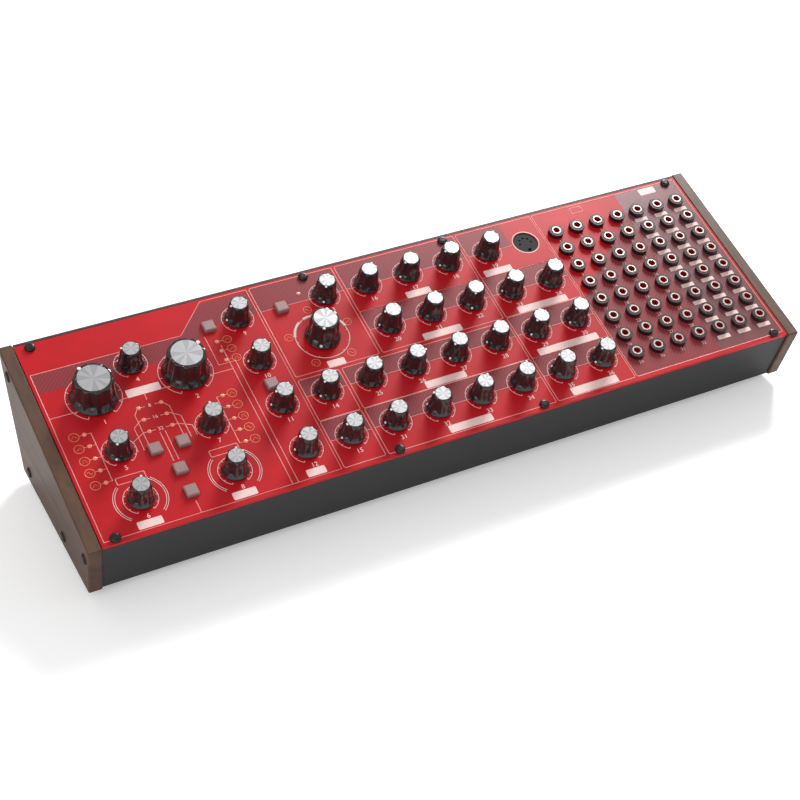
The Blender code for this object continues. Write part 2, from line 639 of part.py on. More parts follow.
def make_rear_board(frame):
    """The connector board with the power switch, the inlet and the data socket behind the back wall."""
    seat = BACK_ROW - max(DIN_RADIUS, AUDIO_BODY_SIDE / 2) - GAP
    face = -SHEET - GAP
    half = HALF_WIDTH - REAR_BOARD_MARGIN
    sunk = seat - BOARD_THICKNESS / 2
    switch_top, well_bottom = well(POWER_BUTTON, SHEET)
    switch_half = POWER_BUTTON["side"] / 2 + POWER_BUTTON["flange"]
    bm = bmesh.new()
    add_box(bm, (-half, seat - BOARD_THICKNESS, face - REAR_BOARD_LENGTH), (half, seat, face))
    board = add_object("rear_board", finish_mesh(bm, "rear_board"), frame, "board_green")
    bm = bmesh.new()
    add_box(bm, (INLET_PLACE - INLET_SIDE / 2, sunk, face - INLET_LENGTH),
            (INLET_PLACE + INLET_SIDE / 2, BACK_ROW + INLET_SIDE / 2, face))
    add_box(bm, (USB_PLACE - USB_WIDTH / 2, sunk, face - USB_LENGTH),
            (USB_PLACE + USB_WIDTH / 2, BACK_ROW + USB_HEIGHT / 2, face))
    add_box(bm, (POWER_PLACE - switch_half, sunk, well_bottom - SHEET),
            (POWER_PLACE + switch_half, BACK_ROW + switch_half, switch_top))
    shape_with(board, finish_mesh(bm, "connector_bodies"), "UNION")
    bm = bmesh.new()
    hole = POWER_BUTTON["stem"] + 2 * GAP
    mouth = (face - MOUTH_DEPTH, 0)
    add_loft(bm, [ring(INLET_RADIUS, h, 10) for h in mouth], Matrix.Translation((INLET_PLACE, BACK_ROW, 0)))
    add_loft(bm, [rectangle(USB_MOUTH_WIDTH, USB_MOUTH_HEIGHT, h) for h in mouth],
             Matrix.Translation((USB_PLACE, BACK_ROW, 0)))
    add_loft(bm, [rectangle(hole, hole, h) for h in (well_bottom, 0)],
             Matrix.Translation((POWER_PLACE, BACK_ROW, 0)))
    shape_with(board, finish_mesh(bm, "connector_mouths"), "DIFFERENCE")
    bm = bmesh.new()
    tip = (face - MOUTH_DEPTH - SHEET, face - SHEET)
    add_loft(bm, [ring(INLET_PIN_RADIUS, h, 6) for h in tip], Matrix.Translation((INLET_PLACE, BACK_ROW, 0)))
    add_loft(bm, [rectangle(USB_TONGUE_WIDTH, USB_TONGUE_HEIGHT, h) for h in tip],
             Matrix.Translation((USB_PLACE, BACK_ROW, 0)))
    shape_with(board, finish_mesh(bm, "pin_and_tongue"), "UNION")


clear_scene()
PARTS = new_collection("analog_synthesizer")
CUTTERS = new_collection("cutters", hidden=True)
PANEL_FRAME, BACK_FRAME = make_frames()
BACK_IN_PANEL = Matrix.LocRotScale(BACK_FRAME.location, BACK_FRAME.rotation_euler, None)
make_panel(PANEL_FRAME)
make_tray(PANEL_FRAME, BACK_FRAME)
make_cheek(PANEL_FRAME, "left_cheek", -1)
make_cheek(PANEL_FRAME, "right_cheek", 1)
make_feet()
make_knobs(PANEL_FRAME)
make_buttons(PANEL_FRAME, BACK_FRAME)
make_main_board(PANEL_FRAME)
make_jack_board(PANEL_FRAME)
make_din_socket("midi_in_socket", PANEL_FRAME, (MIDI_IN_PLACE[0] - HALF_WIDTH, MIDI_IN_PLACE[1], 0),
                BOARD_DEPTH - DIN_DROP - GAP)
make_din_socket("midi_thru_socket", BACK_FRAME, (THRU_PLACE, BACK_ROW, 0), DIN_LENGTH)
for jack_name, jack_place in AUDIO_PLACES.items():
    make_audio_jack(jack_name, BACK_FRAME, jack_place)
make_rear_board(BACK_FRAME)
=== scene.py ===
"""Looks of a desktop analog synthesizer: finishes, fluted knobs, printed lines, jack nuts and screws.

Everything is in metres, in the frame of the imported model: X along the panel, Y to the back, Z up.
Panel places are (across from the panel's left edge, up the slope from its front edge, out of its face).
"""

import json
import logging
import math
from dataclasses import dataclass, field
from enum import Enum

import bmesh
import bpy
from mathutils import Matrix, Vector


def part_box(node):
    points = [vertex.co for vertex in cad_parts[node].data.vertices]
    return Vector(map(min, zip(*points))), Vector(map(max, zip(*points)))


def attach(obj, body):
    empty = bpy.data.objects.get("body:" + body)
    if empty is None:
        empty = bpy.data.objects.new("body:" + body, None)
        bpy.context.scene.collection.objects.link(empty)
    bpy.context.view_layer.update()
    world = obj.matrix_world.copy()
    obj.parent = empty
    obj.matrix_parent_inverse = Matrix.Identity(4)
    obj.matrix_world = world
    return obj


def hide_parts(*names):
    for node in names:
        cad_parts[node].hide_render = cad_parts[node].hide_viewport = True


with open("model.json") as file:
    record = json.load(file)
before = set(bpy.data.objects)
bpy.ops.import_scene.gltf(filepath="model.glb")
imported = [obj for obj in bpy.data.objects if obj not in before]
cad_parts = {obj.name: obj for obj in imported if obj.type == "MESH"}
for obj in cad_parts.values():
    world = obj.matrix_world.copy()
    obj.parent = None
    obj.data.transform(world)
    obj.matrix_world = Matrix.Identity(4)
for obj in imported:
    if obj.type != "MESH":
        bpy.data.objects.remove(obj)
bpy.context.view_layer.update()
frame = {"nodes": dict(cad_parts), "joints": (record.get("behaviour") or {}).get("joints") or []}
LOG = logging.getLogger("synthesizer")

MM = 0.001
Point = tuple[float, float]
Stroke = list[Point]


class Grain(Enum):
    """How the fine pattern of a finish runs; the spun pattern is painted sheen, lighter and darker sectors
    round the axis.
    """

    FINE = "fine"
    WOOD = "wood"
    SPUN = "spun"
    HATCH = "hatch"


@dataclass(frozen=True)
class Finish:
    """A surface: its colours, gloss, and the pattern that breaks them up."""

    name: str
    colour: tuple[float, float, float]
    second: tuple[float, float, float]
    roughness: float
    metallic: float = 0.0
    coat: float = 0.0
    scale: float = 400.0
    bump: float = 0.05
    grain: Grain = Grain.FINE
    spread: float = 0.06
    specular: float = 0.5

    def material(self) -> bpy.types.Material:
        """The finish as a node material, made on first use.

        Returns:
            The Blender material.
        """
        found = bpy.data.materials.get(self.name)
        if found:
            return found
        made = bpy.data.materials.new(self.name)
        made.use_nodes = True
        nodes, links = made.node_tree.nodes, made.node_tree.links
        shader = nodes["Principled BSDF"]
        shader.inputs["Metallic"].default_value = self.metallic
        shader.inputs["Specular IOR Level"].default_value = self.specular
        shader.inputs["Coat Weight"].default_value = self.coat
        shader.inputs["Coat Roughness"].default_value = 0.06
        pattern = self.pattern(nodes, links)
        ramp = nodes.new("ShaderNodeValToRGB")
        ramp.color_ramp.elements[0].position = 0.3
        ramp.color_ramp.elements[0].color = (*self.colour, 1.0)
        ramp.color_ramp.elements[1].position = 0.7
        ramp.color_ramp.elements[1].color = (*self.second, 1.0)
        links.new(pattern, ramp.inputs["Fac"])
        links.new(ramp.outputs["Color"], shader.inputs["Base Color"])
        gloss = nodes.new("ShaderNodeMapRange")
        gloss.inputs["To Min"].default_value = max(0.0, self.roughness - self.spread)
        gloss.inputs["To Max"].default_value = min(1.0, self.roughness + self.spread)
        links.new(pattern, gloss.inputs["Value"])
        links.new(gloss.outputs["Result"], shader.inputs["Roughness"])
        if self.bump:
            bump = nodes.new("ShaderNodeBump")
            bump.inputs["Strength"].default_value = self.bump
            bump.inputs["Distance"].default_value = 0.1 * MM
            links.new(pattern, bump.inputs["Height"])
            links.new(bump.outputs["Normal"], shader.inputs["Normal"])
        return made

    def pattern(self, nodes: bpy.types.Nodes, links: bpy.types.NodeLinks) -> bpy.types.NodeSocket:
        """The grey pattern that drives colour, gloss and bump.

        Args:
            nodes: The material's nodes.
            links: The material's links.

        Returns:
            The socket that gives the pattern.
        """
        where = nodes.new("ShaderNodeTexCoord")
        mapping = nodes.new("ShaderNodeMapping")
        # Wave bands round the axis: lighter and darker sectors of painted reflection, standing in for how
        # spun metal catches the lamps.
        if self.grain is Grain.SPUN:
            links.new(where.outputs["UV"], mapping.inputs["Vector"])
            wave = nodes.new("ShaderNodeTexWave")
            wave.bands_direction = "X"
            wave.inputs["Scale"].default_value = self.scale
            wave.inputs["Distortion"].default_value = 0.4
            links.new(mapping.outputs["Vector"], wave.inputs["Vector"])
            return wave.outputs["Fac"]
        links.new(where.outputs["Object"], mapping.inputs["Vector"])
        mapping.inputs["Rotation"].default_value = (-SLOPE, 0, 0)
        if self.grain is Grain.HATCH:
            mapping.inputs["Rotation"].default_value = (-SLOPE, 0, math.radians(45))
            wave = nodes.new("ShaderNodeTexWave")
            wave.inputs["Scale"].default_value = self.scale
            wave.inputs["Distortion"].default_value = 0.0
            links.new(mapping.outputs["Vector"], wave.inputs["Vector"])
            return wave.outputs["Fac"]
        noise = nodes.new("ShaderNodeTexNoise")
        noise.inputs["Scale"].default_value = self.scale
        noise.inputs["Detail"].default_value = 5.0
        if self.grain is Grain.WOOD:
            mapping.inputs["Scale"].default_value = (1.0, 0.06, 1.0)
            noise.inputs["Distortion"].default_value = 0.6
        links.new(mapping.outputs["Vector"], noise.inputs["Vector"])
        return noise.outputs["Fac"]


@dataclass(frozen=True)
class PanelPlane:
    """The sloped face of the panel in the model's frame."""

    origin: Vector
    turn: Matrix

    def matrix(self, across: float = 0.0, up: float = 0.0, out: float = 0.0, clock: float = 0.0) -> Matrix:
        """Where a shape modelled about the axis stands on the panel.

        Args:
            across: Place across from the panel's left edge.
            up: Place up the slope from the front edge.
            out: Height out of the face.
            clock: Turn in degrees, clockwise seen from above.

        Returns:
            The matrix from the shape's own axes.
        """
        spin = Matrix.Rotation(-math.radians(clock), 4, "Z")
        return Matrix.Translation(self.origin) @ self.turn @ Matrix.Translation((across, up, out)) @ spin

    def place_of(self, point: Vector) -> Point:
        """Place across and up the slope of a point on the face.

        Args:
            point: A point in the model's frame.

        Returns:
            Its place across and up the slope.
        """
        local = self.turn.inverted() @ (point - self.origin)
        return local.x, local.y


def find_plane() -> PanelPlane:
    """The panel's face, from a shaft's joint and the panel's box.

    Returns:
        The plane, with its origin at the panel's front left corner.
    """
    low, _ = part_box("top_panel")
    joint = next(j for j in frame["joints"] if j["name"] == "filter_frequency_turn")
    normal = Vector(joint["axis"])
    turn = Matrix.Rotation(math.atan2(-normal.y, normal.z), 4, "X")
    shaft = turn.inverted() @ Vector(joint["pos_m"])
    front = turn @ Vector((low.x, shaft.y - FREQUENCY_ROW, shaft.z))
    return PanelPlane(front, turn)


# Place of the filter frequency knob up the slope, which ties the panel's axes to its joint
FREQUENCY_ROW = 109.7 * MM
PLANE = find_plane()
SLOPE = PLANE.turn.to_euler().x

ENAMEL = Finish("red_enamel", (0.56, 0.006, 0.012), (0.47, 0.004, 0.010), 0.36, scale=60, bump=0.0,
                spread=0.03, specular=0.28)
HATCHED = Finish("hatched_print", (0.19, 0.062, 0.072), (0.34, 0.008, 0.014), 0.36, scale=190, bump=0.0,
                 grain=Grain.HATCH, specular=0.28)
GREYED = Finish("grey_print", (0.17, 0.055, 0.06), (0.20, 0.05, 0.055), 0.30, scale=90, bump=0.0)
INK = Finish("pale_ink", (0.92, 0.66, 0.62), (0.86, 0.58, 0.55), 0.5, scale=900, bump=0.0)
LINE_INK = Finish("pink_ink", (0.90, 0.34, 0.31), (0.84, 0.28, 0.26), 0.4, scale=900, bump=0.0)
ORANGE = Finish("orange_ink", (0.92, 0.30, 0.13), (0.86, 0.25, 0.11), 0.4, scale=900, bump=0.0)
WOOD = Finish("oiled_wood", (0.120, 0.048, 0.022), (0.060, 0.028, 0.014), 0.5, coat=0.03, scale=260,
              bump=0.25, grain=Grain.WOOD)
COAT = Finish("powder_coat", (0.020, 0.020, 0.022), (0.032, 0.032, 0.035), 0.55, scale=1600, bump=0.3)
BLACK = Finish("black_moulding", (0.012, 0.010, 0.011), (0.018, 0.014, 0.016), 0.20, coat=0.5, scale=300,
               bump=0.0, spread=0.05)
# Silver caps: the light and dark colours, laid in sectors round the axis, are painted reflection of spun
# metal.
SILVER_PAINTED_SHEEN = Finish("silver_painted_sheen", (0.52, 0.52, 0.53), (0.34, 0.34, 0.35), 0.42, metallic=1.0, scale=0.9,
                bump=0.0, grain=Grain.SPUN)
WHITE = Finish("white_mark", (0.88, 0.88, 0.88), (0.80, 0.80, 0.80), 0.5, scale=900, bump=0.0)
BUTTON_GREY = Finish("button_plastic", (0.36, 0.23, 0.22), (0.32, 0.20, 0.19), 0.42, scale=500, bump=0.05)
NUT_DARK = Finish("dark_nut", (0.022, 0.008, 0.009), (0.035, 0.012, 0.013), 0.35, metallic=0.2, scale=700,
                  bump=0.02)
NICKEL = Finish("nickel_ring", (0.50, 0.42, 0.39), (0.42, 0.35, 0.32), 0.35, metallic=1.0, scale=700,
                bump=0.0)
SCREW = Finish("black_screw", (0.018, 0.014, 0.014), (0.03, 0.024, 0.024), 0.32, metallic=0.4, scale=900,
               bump=0.02)
BOARD = Finish("solder_mask", (0.012, 0.10, 0.04), (0.016, 0.13, 0.05), 0.4, scale=300, bump=0.05)
SOCKET = Finish("socket_plastic", (0.006, 0.006, 0.006), (0.011, 0.011, 0.011), 0.5, scale=600, bump=0.05,
                specular=0.12)
RUBBER = Finish("foot_rubber_look", (0.016, 0.016, 0.016), (0.026, 0.026, 0.026), 0.85, scale=900, bump=0.3)
LENS = Finish("lamp_lens", (0.95, 0.36, 0.24), (0.88, 0.28, 0.18), 0.2, scale=900, bump=0.0)


def deselect() -> None:
    """Leave edit mode and deselect everything."""
    if bpy.context.mode != "OBJECT":
        bpy.ops.object.mode_set(mode="OBJECT")
    bpy.ops.object.select_all(action="DESELECT")


def select_verts(obj: bpy.types.Object, wanted: list[int]) -> None:
    """Select vertices by index in edit mode.

    Args:
        obj: The object in edit mode.
        wanted: Indices of the vertices.
    """
    shape = bmesh.from_edit_mesh(obj.data)
    chosen = set(wanted)
    for element in (*shape.verts, *shape.edges, *shape.faces):
        element.select = False
    for vert in shape.verts:
        vert.select = vert.index in chosen
    shape.select_flush_mode()
    bmesh.update_edit_mesh(obj.data)


def turned(profile: list[tuple[float, float]], sides: int, hollow: bool = False) -> bpy.types.Object:
    """A solid built up from a ring by extruding and scaling it through a profile.

    Args:
        profile: Radius and height of each ring, from the lowest.
        sides: Corners of each ring.
        hollow: Whether the profile comes back to its start and leaves the middle open.

    Returns:
        The object, left in edit mode with its last face selected.
    """
    deselect()
    radius, height = profile[0]
    fill = "NOTHING" if hollow else "NGON"
    bpy.ops.mesh.primitive_circle_add(vertices=sides, radius=radius, fill_type=fill, location=(0, 0, height))
    obj = bpy.context.object
    bpy.ops.object.transform_apply(location=True, rotation=True, scale=True)
    bpy.ops.object.mode_set(mode="EDIT")
    bpy.ops.mesh.select_all(action="SELECT")
    for (last, low), (wide, high) in zip(profile, profile[1:]):
        bpy.ops.mesh.extrude_region_move(TRANSFORM_OT_translate={"value": (0, 0, high - low)})
        share = wide / last
        bpy.ops.transform.resize(value=(share, share, 1), center_override=(0, 0, high))
    if hollow:
        bpy.ops.mesh.select_all(action="SELECT")
        bpy.ops.mesh.remove_doubles(threshold=0.001 * MM)
    return obj


def close(obj: bpy.types.Object, name: str, finish: Finish, angle: float = 35) -> bpy.types.Object:
    """Leave edit mode with the faces pointing out, shaded smooth, in one finish.

    Args:
        obj: The object in edit mode.
        name: Its new name.
        finish: Its finish.
        angle: Edges sharper than this many degrees stay crisp.

    Returns:
        The object.
    """
    bpy.ops.mesh.select_all(action="SELECT")
    bpy.ops.mesh.normals_make_consistent(inside=False)
    bpy.ops.object.mode_set(mode="OBJECT")
    bpy.ops.object.shade_smooth_by_angle(angle=math.radians(angle))
    obj.name = name
    obj.data.materials.clear()
    obj.data.materials.append(finish.material())
    return obj


def joined(pieces: list[bpy.types.Object], name: str) -> bpy.types.Object:
    """Several objects joined into the first one.

    Args:
        pieces: The objects.
        name: Name of the result.

    Returns:
        The joined object.
    """
    deselect()
    for piece in pieces:
        piece.select_set(True)
    bpy.context.view_layer.objects.active = pieces[0]
    if len(pieces) > 1:
        bpy.ops.object.join()
    pieces[0].name = name
    return pieces[0]


def copy_to(model: bpy.types.Object, name: str, matrix: Matrix) -> bpy.types.Object:
    """A copy with its own mesh, moved in the mesh.

    Args:
        model: The modelled piece, about the axis.
        name: Name of the copy.
        matrix: Where it goes.

    Returns:
        The copy, at the origin.
    """
    mesh = model.data.copy()
    mesh.transform(matrix)
    made = bpy.data.objects.new(name, mesh)
    bpy.context.scene.collection.objects.link(made)
    return made


def remove(*objs: bpy.types.Object) -> None:
    """Remove modelled pieces that only served as models.

    Args:
        objs: The pieces.
    """
    for obj in objs:
        bpy.data.objects.remove(obj, do_unlink=True)


def many(model: bpy.types.Object, name: str, matrices: list[Matrix]) -> bpy.types.Object:
    """Copies of one small piece, joined into one object that rides on the case.

    Args:
        model: The modelled piece, which is removed.
        name: Name of the result.
        matrices: Where the copies go.

    Returns:
        The joined object.
    """
    copies = [copy_to(model, f"{name}_{i}", matrix) for i, matrix in enumerate(matrices)]
    made = joined(copies, name)
    remove(model)
    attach(made, "case")
    LOG.info("%s: %d copies", name, len(matrices))
    return made


def polar_uv(mesh: bpy.types.Mesh) -> None:
    """A UV map whose U runs round the axis and V out from it, for the painted sheen sectors of spun metal.

    Args:
        mesh: The mesh, about its axis.
    """
    layer = mesh.uv_layers.new(name="spun")
    for face in mesh.polygons:
        first = None
        for loop in face.loop_indices:
            point = mesh.vertices[mesh.loops[loop].vertex_index].co
            turn = math.atan2(point.y, point.x) / (2 * math.pi)
            if first is None:
                first = turn
            turn -= round(turn - first)
            layer.data[loop].uv = (turn, Vector((point.x, point.y)).length / MM)


# Forms that every knob shares
SKIRT_EDGE = 0.35 * MM
SKIRT_WALL = 0.8 * MM
SKIRT_LIP = 1.2 * MM
GRIP_START = 0.7 * MM
TOP_EDGE = 0.45 * MM
DISC_RISE = 0.35 * MM
DISC_STEPS = 6
PER_FLUTE = 8
FLUTE_SHARES = ((0, 1.0), (1, 0.86), (2, 0.45), (6, 0.45), (7, 0.86))


@dataclass
class KnobModel:
    """One size of fluted knob, modelled about its shaft."""

    name: str
    skirt: float
    skirt_height: float
    foot: float
    top: float
    height: float
    cap: float
    flutes: int
    flute: float
    lift: float = 0.6 * MM
    dot: float = 0.62 * MM

    def body(self) -> bpy.types.Object:
        """The black moulding, with flutes drawn in between its ribs.

        Returns:
            The body.
        """
        sides = PER_FLUTE * self.flutes
        high = self.lift + self.height
        grip_foot = self.skirt_height + self.lift
        profile = [
            (self.skirt - SKIRT_EDGE, self.lift), (self.skirt, self.lift + SKIRT_EDGE),
            (self.skirt, self.lift + SKIRT_WALL), (self.skirt - SKIRT_EDGE, self.lift + SKIRT_LIP),
            (self.foot + 0.2 * MM, grip_foot), (self.foot - 0.1 * MM, grip_foot + GRIP_START),
            ((self.foot + self.top) / 2, (high + self.skirt_height) / 2),
            (self.top + 0.05 * MM, high - 0.7 * MM), (self.top - 0.1 * MM, high - 0.25 * MM),
            (self.top - TOP_EDGE, high), (self.cap, high), (self.cap, high - 0.3 * MM),
        ]
        obj = turned(profile, sides)
        shape = bmesh.from_edit_mesh(obj.data)
        grip = [v for v in shape.verts if grip_foot + 0.3 * MM < v.co.z < high - 0.1 * MM]
        for offset, share in FLUTE_SHARES:
            chosen = []
            for vert in grip:
                turn = math.atan2(-vert.co.x, vert.co.y) / (2 * math.pi) * sides
                if round(turn + PER_FLUTE / 2) % PER_FLUTE == offset:
                    chosen.append(vert.index)
            select_verts(obj, chosen)
            drawn = 1 - share * self.flute / self.foot
            bpy.ops.transform.resize(value=(drawn, drawn, 1), center_override=(0, 0, 0))
        return close(obj, self.name, BLACK, 40)

    def disc(self) -> bpy.types.Object:
        """The spun silver disc in the top, whose finish paints sheen in sectors round the axis.

        Returns:
            The disc, with a polar UV map.
        """
        high = self.lift + self.height
        side, flat, centre = self.cap - 0.05 * MM, self.cap - 0.2 * MM, 0.02 * MM
        rings = [(side, high - 0.2 * MM), (side, high + 0.2 * MM), (flat, high + DISC_RISE)]
        for step in range(1, DISC_STEPS + 1):
            rings.append((flat * (1 - step / DISC_STEPS) + centre, high + DISC_RISE))
        disc = close(turned(rings, 48), self.name + "_disc", SILVER_PAINTED_SHEEN, 30)
        polar_uv(disc.data)
        return disc

    def marks(self) -> list[bpy.types.Object]:
        """White dots on the top's rim and on the skirt, pointing up the slope.

        Returns:
            The dots.
        """
        high = self.lift + self.height
        dots = []
        rim = (self.cap + self.top) / 2
        lean = math.atan2(self.skirt - self.foot, self.skirt_height - SKIRT_LIP)
        on_skirt = (0, (self.skirt + self.foot) / 2, self.lift + (self.skirt_height + SKIRT_LIP) / 2)
        places = (
            Matrix.Translation((0, rim, high - 0.1 * MM)),
            Matrix.Translation(on_skirt) @ Matrix.Rotation(lean - math.pi / 2, 4, "X"),
        )
        for number, place in enumerate(places):
            rings = [(self.dot, -0.2 * MM), (self.dot, 0.12 * MM), (self.dot * 0.7, 0.2 * MM)]
            dot = close(turned(rings, 16), f"{self.name}_dot{number}", WHITE)
            dot.data.transform(place)
            dots.append(dot)
        return dots

    def build(self) -> bpy.types.Object:
        """The whole knob as one object.

        Returns:
            The knob about its shaft, pointing up the slope.
        """
        return joined([self.body(), self.disc(), *self.marks()], self.name)


@dataclass
class Knobs:
    """Every knob of the panel, each on its own body."""

    sizes: tuple[KnobModel, ...] = (
        KnobModel("small_knob", 7.0 * MM, 2.4 * MM, 6.1 * MM, 5.1 * MM, 12.2 * MM, 4.25 * MM, 8, 0.62 * MM),
        KnobModel("medium_knob", 9.7 * MM, 2.8 * MM, 8.6 * MM, 7.6 * MM, 14.4 * MM, 6.4 * MM, 8, 0.9 * MM,
                  dot=0.8 * MM),
        KnobModel("large_knob", 12.5 * MM, 3.2 * MM, 11.3 * MM, 10.0 * MM, 15.0 * MM, 8.35 * MM, 10, 1.1 * MM,
                  dot=1.0 * MM),
    )

    def build(self) -> None:
        """Model each size once and set a copy on every shaft."""
        models = [(size, size.build()) for size in self.sizes]
        for joint in frame["joints"]:
            if joint["type"] != "hinge":
                continue
            node = joint["name"].replace("_turn", "_knob")
            low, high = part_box(node)
            size, model = min(models, key=lambda pair: abs(2 * pair[0].skirt - (high.x - low.x)))
            across, up = PLANE.place_of(Vector(joint["pos_m"]))
            setting = sum(joint["range_deg"]) / 2
            knob = copy_to(model, node + "_look", PLANE.matrix(across, up, 0, setting))
            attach(knob, joint["child"])
            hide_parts(node)
        remove(*[model for _, model in models])
        LOG.info("knobs set")


def line_object(name: str, strokes: list[Stroke], width: float, finish: Finish, closed: bool = False,
                out: float = 0.02 * MM) -> bpy.types.Object:
    """Printed lines as flat raised ribbons on the panel.

    Args:
        name: Name of the piece.
        strokes: Points of each line, across and up.
        width: Width of the lines.
        finish: Ink.
        closed: Whether each stroke closes on itself.
        out: Height above the panel.

    Returns:
        The ribbons as one mesh.
    """
    deselect()
    curve = bpy.data.curves.new(name, "CURVE")
    curve.dimensions = "3D"
    curve.bevel_depth = width / 2
    curve.bevel_resolution = 0
    curve.use_fill_caps = True
    for stroke in strokes:
        spline = curve.splines.new("POLY")
        spline.points.add(len(stroke) - 1)
        for point, (across, up) in zip(spline.points, stroke):
            point.co = (across, up, 0, 1)
        spline.use_cyclic_u = closed
    return settle(curve, name, finish, out, 0.2)


def settle(curve: bpy.types.Curve, name: str, finish: Finish, out: float, flatten: float) -> bpy.types.Object:
    """Make a drawn curve a mesh and lay it on the panel.

    Args:
        curve: The drawn curve, in panel places.
        name: Name of the piece.
        finish: Its ink.
        out: Height above the panel.
        flatten: Share of its height that is kept.

    Returns:
        The piece, riding on the case.
    """
    obj = bpy.data.objects.new(name, curve)
    bpy.context.scene.collection.objects.link(obj)
    obj.select_set(True)
    bpy.context.view_layer.objects.active = obj
    bpy.ops.object.convert(target="MESH")
    obj = bpy.context.object
    obj.data.transform(PLANE.matrix(0, 0, out) @ Matrix.Diagonal((1, 1, flatten, 1)))
    obj.data.materials.clear()
    obj.data.materials.append(finish.material())
    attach(obj, "case")
    return obj


def plate_object(name: str, outlines: list[Stroke], finish: Finish, out: float) -> bpy.types.Object:
    """Printed areas as thin flat plates on the panel.

    Args:
        name: Name of the piece.
        outlines: Corners of each area, across and up.
        finish: Ink.
        out: Height of the plates' middle above the panel.

    Returns:
        The plates as one mesh.
    """
    deselect()
    curve = bpy.data.curves.new(name, "CURVE")
    curve.dimensions = "2D"
    curve.fill_mode = "BOTH"
    curve.extrude = 0.01 * MM
    for outline in outlines:
        spline = curve.splines.new("POLY")
        spline.points.add(len(outline) - 1)
        for point, (across, up) in zip(spline.points, outline):
            point.co = (across, up, 0, 1)
        spline.use_cyclic_u = True
    return settle(curve, name, finish, out, 1.0)


def rounded(left: float, right: float, low: float, high: float, radius: float = 1.0) -> Stroke:
    """Outline of a rectangle with round corners, all in millimetres.

    Args:
        left: Left side.
        right: Right side.
        low: Lower side.
        high: Upper side.
        radius: Radius of the corners.

    Returns:
        The outline in metres.
    """
    centres = ((right - radius, high - radius, 0), (left + radius, high - radius, 90),
               (left + radius, low + radius, 180), (right - radius, low + radius, 270))
    points = []
    for x, y, start in centres:
        for step in range(5):
            turn = math.radians(start + 22.5 * step)
            points.append(((x + radius * math.cos(turn)) * MM, (y + radius * math.sin(turn)) * MM))
    return points


def arc(centre: Point, radius: float, start: float, end: float, steps: int = 40) -> Stroke:
    """Points of an arc, with angles in degrees clockwise from straight up.

    Args:
        centre: Its centre, in metres.
        radius: Its radius, in metres.
        start: First angle.
        end: Last angle.
        steps: Number of straight stretches.

    Returns:
        The points in metres.
    """
    points = []
    for step in range(steps + 1):
        turn = math.radians(start + (end - start) * step / steps)
        points.append((centre[0] + radius * math.sin(turn), centre[1] + radius * math.cos(turn)))
    return points


def millimetres(*points: Point) -> Stroke:
    """Points given in millimetres, in metres.

    Args:
        points: Places across and up, in millimetres.

    Returns:
        The same places in metres.
    """
    return [(x * MM, y * MM) for x, y in points]


# Places below are in the panel's own axes, in millimetres; a box is (left, right, low, high)
Box = tuple[float, float, float, float]
JACK_COLUMNS = tuple(313.2 + 13.97 * i for i in range(7))
JACK_ROWS = tuple(110.5 - 13.35 * i for i in range(8))
INPUT_COLUMNS = 4
MIDDLE = 51.1
WAVE_ROWS = (65.1, 57.6, 49.8, 42.3, 34.6)
MODE_ROWS = (98.7, 92.3, 85.9)
OCTAVE_ROWS = {8: 71.5, 16: 63.9, 32: 56.3}
WAVE_COLUMNS = ({"symbol": 9.2, "lamp": 14.6, "bus": 17.9, "rim": 11.7},
                {"symbol": 93.1, "lamp": 87.9, "bus": 84.6, "rim": 90.6})
MODE_SYMBOL, MODE_LAMP, MODE_RIM = 104.4, 98.7, 102.1
RATE_SYMBOLS = ((152.8, 103.4), (135.6, 89), (170, 89.2), (142.4, 69), (163.3, 69.2))
OCTAVE_LAMPS = (45.1, 57.3)
CLOCK_LAMP = (152.8, 115.6)
OSCILLATOR_HATCH = ((2, 96), (2, 108), (82.5, 108), (99.5, 125.5), (126.5, 125.5), (126.5, 110), (102.4, 110),
                    (102.4, 113.2), (94, 113.2), (94, 107.5), (84, 96))
RATE_HATCH = ((128.6, 126.6), (177, 126.6), (177, 110.2), (144.2, 110.2), (144.2, 113.4), (135.6, 113.4),
              (135.6, 110.2), (128.6, 110.2))
JACK_HATCH = ((306, 3), (362.4, 3), (362.4, 112), (306, 62))
HATCH_BOXES: tuple[Box, ...] = (
    (179.4, 253.2, 110.2, 126.6), (179.4, 253.2, 80.2, 92.6), (153.9, 253.4, 50.2, 60.7),
    (153.9, 253.4, 20.2, 32.7), (128.6, 151.4, 50.2, 60.7), (128.6, 151.4, 20.2, 32.7),
    (255.5, 283.5, 110.2, 126.6), (255.5, 304.1, 80.2, 92.6), (255.5, 304.1, 50.2, 62.7),
    (255.5, 304.1, 20.2, 32.7),
)
OUTPUT_BOX: Box = (362.5, 404.6, 2.9, 126.6)
SECTION_BOXES: tuple[Box, ...] = (
    (128.3, 177.2, 63.5, 127), (128.3, 151.7, 33.4, 61), (128.3, 151.7, 2.5, 33),
    (153.6, 253.7, 33.3, 61), (153.6, 253.7, 2.5, 33), (179.1, 253.5, 93.1, 127),
    (179.1, 253.5, 63.5, 93.1), (255.2, 304.4, 93.1, 127), (255.2, 304.4, 63.5, 93.1),
    (255.2, 304.4, 33, 63), (255.2, 304.4, 2.5, 33), (305.6, 404.9, 2.5, 127),
)
LABEL_BOXES: tuple[Box, ...] = (
    (19.2, 33.9, 31.1, 35.1), (68.1, 83.1, 31.1, 35.1), (330.6, 338.3, 121, 125.2),
)
BORDER = (
    (1.7, 108.4), (82.5, 108.4), (100.3, 126.9), (126.7, 126.9), (126.7, 2.5), (1.7, 2.5), (1.7, 108.4),
)
